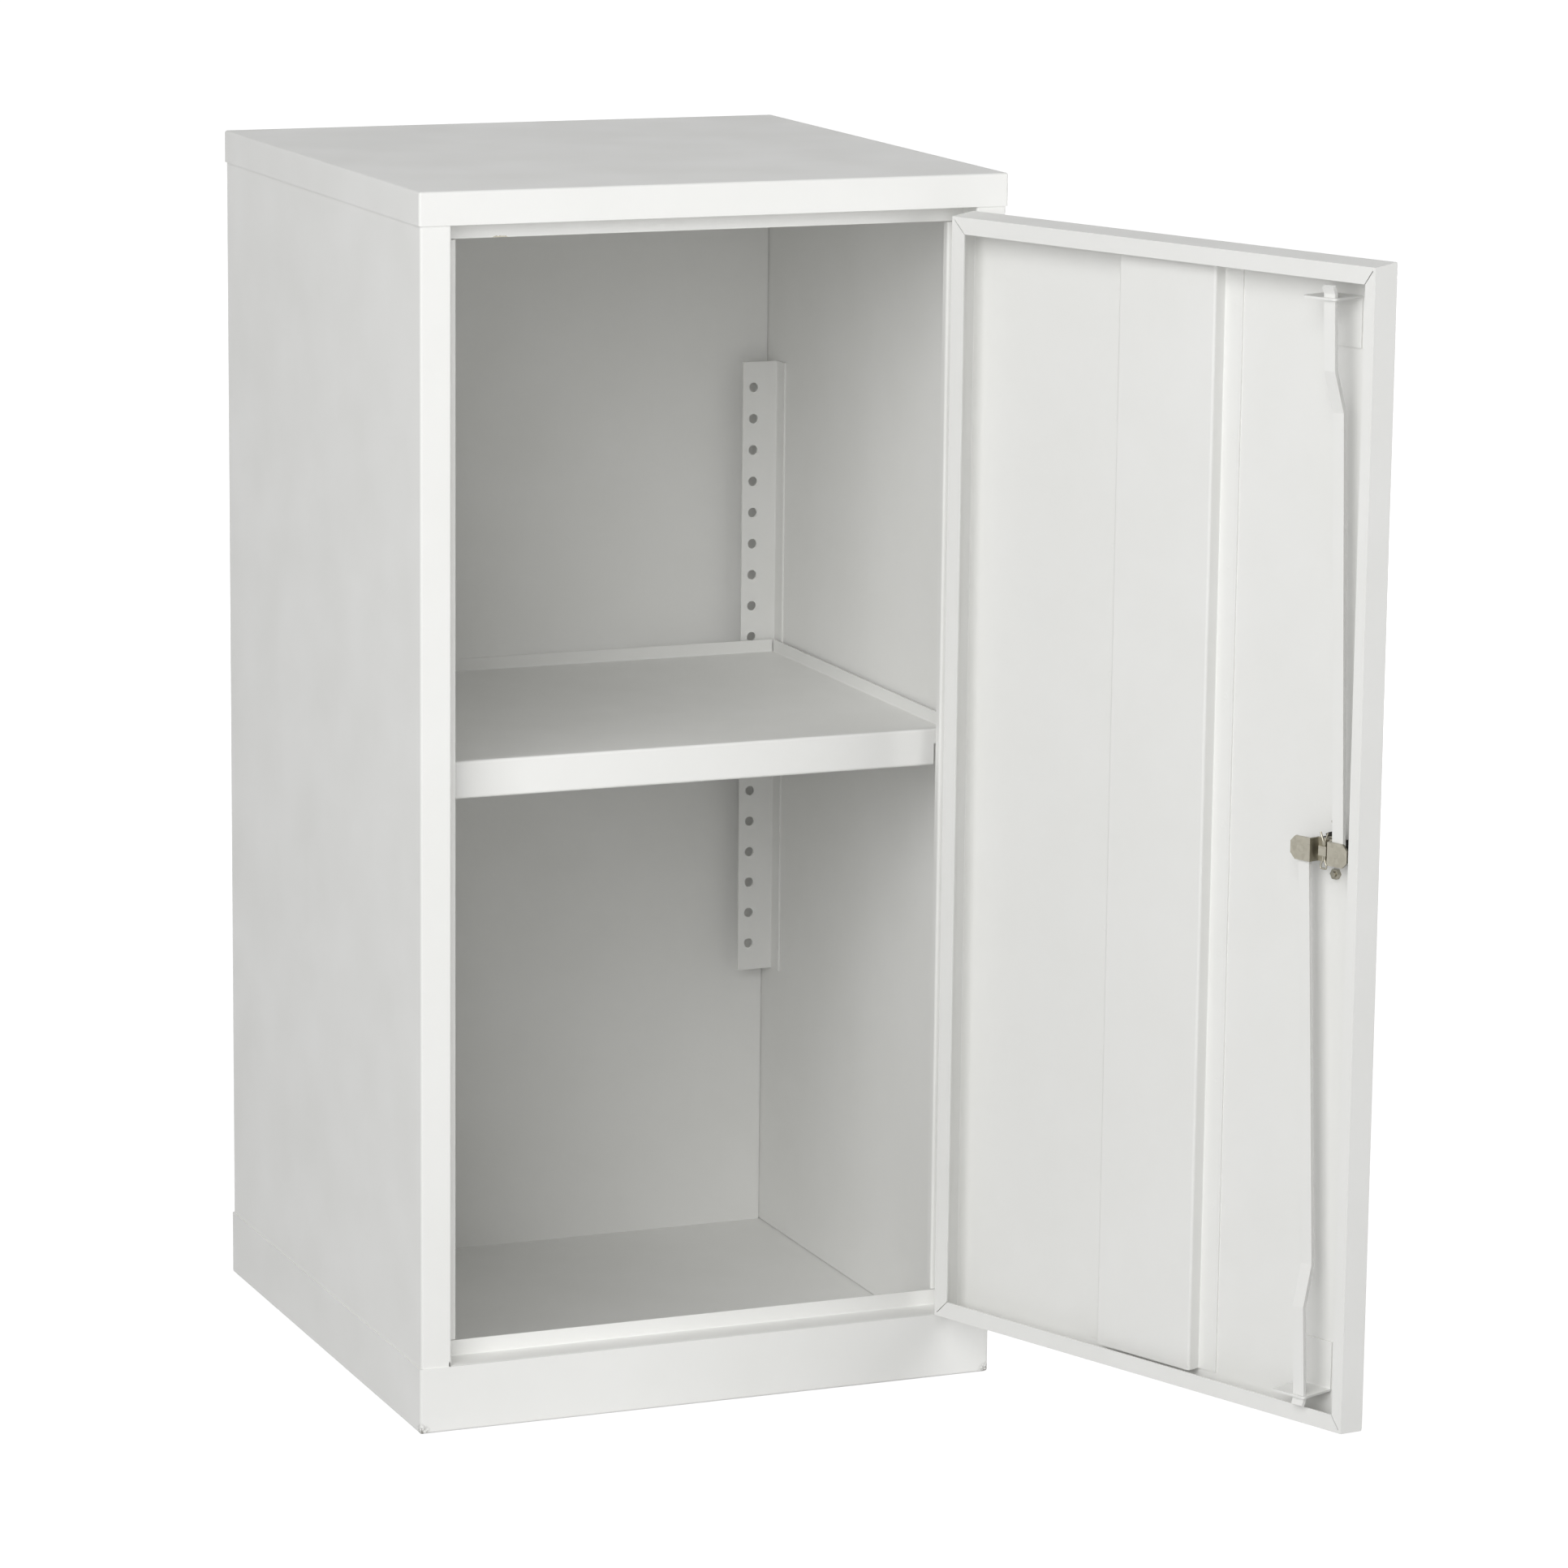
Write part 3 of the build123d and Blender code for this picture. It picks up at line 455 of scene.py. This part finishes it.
# ------------------------------------------------------------------ added details
class CUPBOARD_OT_door_welds(CupboardStep, bpy.types.Operator):
    """Mark the spot welds along both flanges of the door's stiffener"""

    bl_idname = "cupboard.door_welds"
    bl_label = "Door spot welds"

    flange_inset: bpy.props.FloatProperty(
        name="Flange inset", description="Edge of a flange to the middle of its welds",
        default=7.0 * MM, unit="LENGTH")
    end_inset: bpy.props.FloatProperty(
        name="End inset", description="End of the stiffener to the first weld",
        default=30.0 * MM, unit="LENGTH")

    def execute(self, context):
        stiffener = DoorBox("door_stiffener")
        skin = DoorBox("door_pan").outer
        sheet = stiffener.outer - skin
        pitch = context.scene.cupboard_sizes.weld_pitch
        heights = spaced(stiffener.bottom + self.end_inset, stiffener.top - self.end_inset, pitch)

        def make(mesh):
            for over in (stiffener.near + self.flange_inset, stiffener.far - self.flange_inset):
                for height in heights:
                    spot = door_spot(over, height, stiffener.outer + sheet)
                    weld_mark(mesh, spot, INWARD)

        new_piece("stiffener_weld_marks", make, "door", "white_powder_coat")
        return {"FINISHED"}


class CUPBOARD_OT_back_welds(CupboardStep, bpy.types.Operator):
    """Mark the spot welds down both edges of the back, where the side panels lap it"""

    bl_idname = "cupboard.back_welds"
    bl_label = "Back spot welds"

    flange_inset: bpy.props.FloatProperty(
        name="Flange inset", description="Outside of a side panel to the middle of its welds",
        default=10.0 * MM, unit="LENGTH")
    end_inset: bpy.props.FloatProperty(
        name="End inset", description="Rim of the lid or the sump to the nearest weld",
        default=30.0 * MM, unit="LENGTH")

    def execute(self, context):
        side_low, side_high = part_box("left_side")
        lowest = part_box("base_sump")[1][2] + self.end_inset
        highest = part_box("lid")[0][2] - self.end_inset
        over = -side_low[0] - self.flange_inset
        heights = spaced(lowest, highest, context.scene.cupboard_sizes.weld_pitch)

        def make(mesh):
            for across in (-over, over):
                for height in heights:
                    spot = Vector((across, side_high[1], height))
                    weld_mark(mesh, spot, Vector((0.0, 1.0, 0.0)))

        new_piece("back_weld_marks", make, "cabinet", "white_powder_coat")
        return {"FINISHED"}


class CUPBOARD_OT_worn_paint(CupboardStep, bpy.types.Operator):
    """Wear the paint off a short stretch of the header's stop, near its left end"""

    bl_idname = "cupboard.worn_paint"
    bl_label = "Worn paint"

    from_left: bpy.props.FloatProperty(
        name="From left", description="Left end of the stop to the worn stretch",
        default=39.0 * MM, unit="LENGTH")
    reach: bpy.props.FloatProperty(
        name="Reach", description="How far the bare steel climbs from the stop's edge",
        default=1.6 * MM, unit="LENGTH")
    film: bpy.props.FloatProperty(
        name="Film", description="How far a bare patch lies proud, so that it hides the coat",
        default=0.03 * MM, unit="LENGTH")

    def execute(self, context):
        low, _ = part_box("header_rail")
        points = [vertex.co for vertex in frame["nodes"]["header_rail"].data.vertices]
        edge = [point for point in points if point.z < low[2] + 0.01 * MM]
        face = min(point.y for point in edge) - self.film
        width = context.scene.cupboard_sizes.chip_width
        start = low[0] + self.from_left
        steps = 26                  # facets along the ragged edge
        cells = 7.0                 # noise cells along it
        least_share = 0.04          # of the reach, where the noise dips lowest
        least_climb = 0.05 * MM     # at the two ends

        def make(mesh):
            tops = []
            feet = []
            for step in range(steps + 1):
                part = step / steps
                ragged = 0.5 + noise.noise(Vector((part * cells, 0.3, 2.1)))
                climb = self.reach * max(least_share, ragged) * sin(pi * part) ** 0.5
                across = start + width * part
                tops.append(mesh.verts.new((across, face, low[2] + max(climb, least_climb))))
                feet.append(mesh.verts.new((across, face, low[2] - self.film)))
            for step in range(steps):
                mesh.faces.new((feet[step], feet[step + 1], tops[step + 1], tops[step]))

        new_piece("header_worn_edge", make, "cabinet", "zinc_plate")
        return {"FINISHED"}


class CUPBOARD_OT_seam_slit(CupboardStep, bpy.types.Operator):
    """Paint the shade inside the open slit at the foot of the left jamb, where its folds meet the
    sump's rim, as a flat dark patch
    """

    bl_idname = "cupboard.seam_slit"
    bl_label = "Seam slit"

    width: bpy.props.FloatProperty(
        name="Width", description="Width of the slit", default=0.9 * MM, unit="LENGTH")
    height: bpy.props.FloatProperty(
        name="Height", description="Height of the slit above the rim",
        default=4.0 * MM, unit="LENGTH")
    inset: bpy.props.FloatProperty(
        name="Inset", description="Opening edge of the jamb to the slit, clear of the fold",
        default=2.1 * MM, unit="LENGTH")
    proud: bpy.props.FloatProperty(
        name="Proud", description="How far the slit's face lies in front of the coat",
        default=0.03 * MM, unit="LENGTH")

    def execute(self, context):
        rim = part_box("base_sump")[1][2]
        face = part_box("left_side")[0][1] - self.proud
        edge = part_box("header_rail")[0][0]

        # Painted shade: a flat dark patch just in front of the coat stands for the shade inside
        # the open slit.
        def make(mesh):
            left = edge - self.inset
            right = left + self.width
            low = rim + self.proud
            shoulder = low + 0.6 * self.height      # where the slit starts to narrow
            outline = [(left, low), (right, low), (right, shoulder),
                       ((left + right) / 2.0, low + self.height), (left, shoulder)]
            mesh.faces.new([mesh.verts.new((across, face, up)) for across, up in outline])

        new_piece("jamb_seam_slit", make, "cabinet", "blackened_steel")
        return {"FINISHED"}


class CUPBOARD_OT_screw_recesses(CupboardStep, bpy.types.Operator):
    """Paint the shade of a cross recess onto the heads of the plate's two screws, as a flat dark
    cross
    """

    bl_idname = "cupboard.screw_recesses"
    bl_label = "Screw recesses"

    arm_width: bpy.props.FloatProperty(
        name="Arm width", description="Width of one arm of the cross recess",
        default=0.9 * MM, unit="LENGTH")
    proud: bpy.props.FloatProperty(
        name="Proud", description="How far the recess's face lies in front of the head",
        default=0.03 * MM, unit="LENGTH")

    def execute(self, context):
        screws = DoorBox("escutcheon_screws")
        lock_over = (LOCK - HINGE).dot(ACROSS)
        head_radius = (screws.far - screws.near) / 2.0
        heights = (screws.bottom + head_radius, screws.top - head_radius)
        long, short = context.scene.cupboard_sizes.recess_radius, self.arm_width / 2.0
        arm = [(short, short), (short, long), (-short, long)]
        depth = screws.outer - self.proud

        # Painted shade: a flat dark cross just in front of each head stands for the shade down in
        # its recess.
        def make(mesh):
            for height in heights:
                middle = mesh.verts.new(door_spot(lock_over, height, depth))
                rim = []
                for quarter in range(4):
                    turn = quarter * pi / 2.0
                    for over, rise in arm:
                        rim.append(mesh.verts.new(door_spot(
                            lock_over + over * cos(turn) - rise * sin(turn),
                            height + over * sin(turn) + rise * cos(turn), depth)))
                for corner, after in zip(rim, rim[1:] + rim[:1]):
                    mesh.faces.new((middle, corner, after))

        new_piece("screw_recesses", make, "door", "blackened_steel")
        return {"FINISHED"}


# ------------------------------------------------------------------ stage
class CUPBOARD_OT_stage(CupboardStep, bpy.types.Operator):
    """Add the pale floor, the soft lamps, the world and the camera"""

    bl_idname = "cupboard.stage"
    bl_label = "Studio stage"

    azimuth: bpy.props.FloatProperty(
        name="Camera azimuth", description="Camera's turn about the upright from straight ahead",
        default=radians(-22.49), subtype="ANGLE")
    elevation: bpy.props.FloatProperty(
        name="Camera elevation", description="How far the camera looks down",
        default=radians(11.64), subtype="ANGLE")
    roll: bpy.props.FloatProperty(
        name="Camera roll", description="Camera's turn about its own line of sight",
        default=radians(0.63), subtype="ANGLE")
    distance: bpy.props.FloatProperty(
        name="Camera distance", description="Camera to the point that it looks at",
        default=4835.8 * MM, unit="LENGTH")
    target: bpy.props.FloatVectorProperty(
        name="Camera target", description="Point that the camera looks at",
        default=(150.4 * MM, 0.0, 418.0 * MM), size=3, subtype="TRANSLATION")
    lens: bpy.props.FloatProperty(
        name="Lens", description="Focal length on a sensor 36 mm wide", default=142.69)
    ambient: bpy.props.FloatProperty(
        name="Ambient", description="Light from all round, 1 being white", default=0.26)
    key_watts: bpy.props.FloatProperty(
        name="Key lamp", description="Power of the large lamp at the front left",
        default=129.0, unit="POWER")
    fill_watts: bpy.props.FloatProperty(
        name="Fill lamp", description="Power of the smaller lamp at the front right",
        default=38.0, unit="POWER")
    back_watts: bpy.props.FloatProperty(
        name="Back lamp", description="Power of the large lamp behind the cupboard",
        default=84.0, unit="POWER")

    def camera(self, scene):
        """Stand the camera where the photograph was taken from."""
        back = Vector((cos(self.elevation) * sin(self.azimuth),
                       -cos(self.elevation) * cos(self.azimuth), sin(self.elevation)))
        right = (-back).cross(UP).normalized()
        up = right.cross(-back)
        side = right * cos(self.roll) + up * sin(self.roll)
        top = up * cos(self.roll) - right * sin(self.roll)
        data = bpy.data.cameras.new("photo_camera")
        data.lens = self.lens
        data.sensor_width = SENSOR_WIDTH
        camera = bpy.data.objects.new("photo_camera", data)
        turn = Matrix((side, top, back)).transposed().to_4x4()
        camera.matrix_world = Matrix.Translation(Vector(self.target) + back * self.distance) @ turn
        scene.collection.objects.link(camera)
        scene.camera = camera

    def lamp(self, scene, name, place, size, watts):
        """A square softbox that faces LAMP_AIM."""
        data = bpy.data.lights.new(name, "AREA")
        data.shape = "SQUARE"
        data.size = size
        data.energy = watts
        lamp = bpy.data.objects.new(name, data)
        aim = Vector(LAMP_AIM) - Vector(place)
        turn = aim.to_track_quat("-Z", "Y").to_matrix().to_4x4()
        lamp.matrix_world = Matrix.Translation(place) @ turn
        scene.collection.objects.link(lamp)

    def seen_directly(self, tree):
        """1 for rays from the camera and for reflections, 0 for rays that light a surface."""
        path = add_node(tree, "ShaderNodeLightPath")
        gloss = add_node(tree, "ShaderNodeMath", {0: path.outputs["Is Camera Ray"],
                                                  1: path.outputs["Is Glossy Ray"]},
                         operation="ADD")
        seen = add_node(tree, "ShaderNodeMath", {0: gloss.outputs[0],
                                                 1: path.outputs["Is Transmission Ray"]},
                        operation="ADD", use_clamp=True)
        return seen.outputs[0]

    def floor(self, scene):
        """A floor that lights the cupboard like pale card and looks white but for a shadow."""
        mesh = bpy.data.meshes.new("floor")
        corners = [(-1, -1), (1, -1), (1, 1), (-1, 1)]
        mesh.from_pydata([(x * FLOOR_HALF, y * FLOOR_HALF, -FLOOR_DROP) for x, y in corners],
                         [], [(0, 1, 2, 3)])
        floor = bpy.data.objects.new("floor", mesh)
        scene.collection.objects.link(floor)
        material = bpy.data.materials.new("white_card")
        material.use_nodes = True
        tree = material.node_tree
        tree.nodes.clear()
        card = add_node(tree, "ShaderNodeBsdfDiffuse", {"Color": linear("#CCCCCC")})
        shade = add_node(tree, "ShaderNodeBsdfDiffuse", {"Color": linear("#9A9A9A")})
        # The glow makes up for the lamps' fall-off from 1 m to 3 m out.
        place = add_node(tree, "ShaderNodeTexCoord").outputs["Object"]
        out = add_node(tree, "ShaderNodeVectorMath", {0: place}, operation="LENGTH")
        level = add_node(tree, "ShaderNodeMapRange",
                         {"Value": out.outputs["Value"], "From Min": 1.0, "From Max": 3.0,
                          "To Min": 0.86, "To Max": 1.0})
        glow = add_node(tree, "ShaderNodeEmission", {"Color": linear("#FFFFFF"),
                                                     "Strength": level.outputs["Result"]})
        shown = add_node(tree, "ShaderNodeAddShader", {0: shade.outputs[0], 1: glow.outputs[0]})
        both = add_node(tree, "ShaderNodeMixShader",
                        {0: self.seen_directly(tree), 1: card.outputs[0], 2: shown.outputs[0]})
        add_node(tree, "ShaderNodeOutputMaterial", {"Surface": both.outputs[0]})
        mesh.materials.append(material)

    def world(self, scene):
        """White where it is seen, and the ambient level where it lights a surface."""
        world = bpy.data.worlds.new("studio")
        scene.world = world
        world.use_nodes = True
        tree = world.node_tree
        tree.nodes.clear()
        level = add_node(tree, "ShaderNodeMapRange",
                         {"Value": self.seen_directly(tree), "To Min": self.ambient,
                          "To Max": 1.0})
        sky = add_node(tree, "ShaderNodeBackground", {"Color": linear("#FFFFFF"),
                                                      "Strength": level.outputs["Result"]})
        add_node(tree, "ShaderNodeOutputWorld", {"Surface": sky.outputs[0]})

    def execute(self, context):
        scene = context.scene
        self.camera(scene)
        for name, place, size, power in LAMPS:
            self.lamp(scene, name, place, size, getattr(self, power))
        self.floor(scene)
        self.world(scene)
        scene.view_settings.view_transform = "Standard"
        return {"FINISHED"}


# ------------------------------------------------------------------ panel and registration
STEPS = (
    CUPBOARD_OT_powder_coat,
    CUPBOARD_OT_zinc_plate,
    CUPBOARD_OT_black_oxide,
    CUPBOARD_OT_satin_chrome,
    CUPBOARD_OT_door_welds,
    CUPBOARD_OT_back_welds,
    CUPBOARD_OT_worn_paint,
    CUPBOARD_OT_seam_slit,
    CUPBOARD_OT_screw_recesses,
    CUPBOARD_OT_stage,
)


class CUPBOARD_PT_steps(bpy.types.Panel):
    """The steps that dress the cupboard, in order"""

    bl_idname = "CUPBOARD_PT_steps"
    bl_label = "Cupboard"
    bl_space_type = "VIEW_3D"
    bl_region_type = "UI"
    bl_category = "Cupboard"

    def draw(self, context):
        for step in STEPS:
            self.layout.operator(step.bl_idname)
        for group in (context.scene.cupboard_sizes, context.scene.cupboard_colours):
            for name in group.__annotations__:
                self.layout.prop(group, name)


CLASSES = (CupboardSizes, CupboardColours, *STEPS, CUPBOARD_PT_steps)


def register():
    """Register the classes and hang the two property groups on the scene."""
    for item in CLASSES:
        bpy.utils.register_class(item)
    bpy.types.Scene.cupboard_sizes = bpy.props.PointerProperty(type=CupboardSizes)
    bpy.types.Scene.cupboard_colours = bpy.props.PointerProperty(type=CupboardColours)


def unregister():
    """Undo what register does."""
    del bpy.types.Scene.cupboard_colours
    del bpy.types.Scene.cupboard_sizes
    for item in reversed(CLASSES):
        bpy.utils.unregister_class(item)


def main():
    """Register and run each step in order."""
    register()
    for step in STEPS:
        group, name = step.bl_idname.split(".")
        getattr(getattr(bpy.ops, group), name)()


if __name__ == "__main__":
    main()
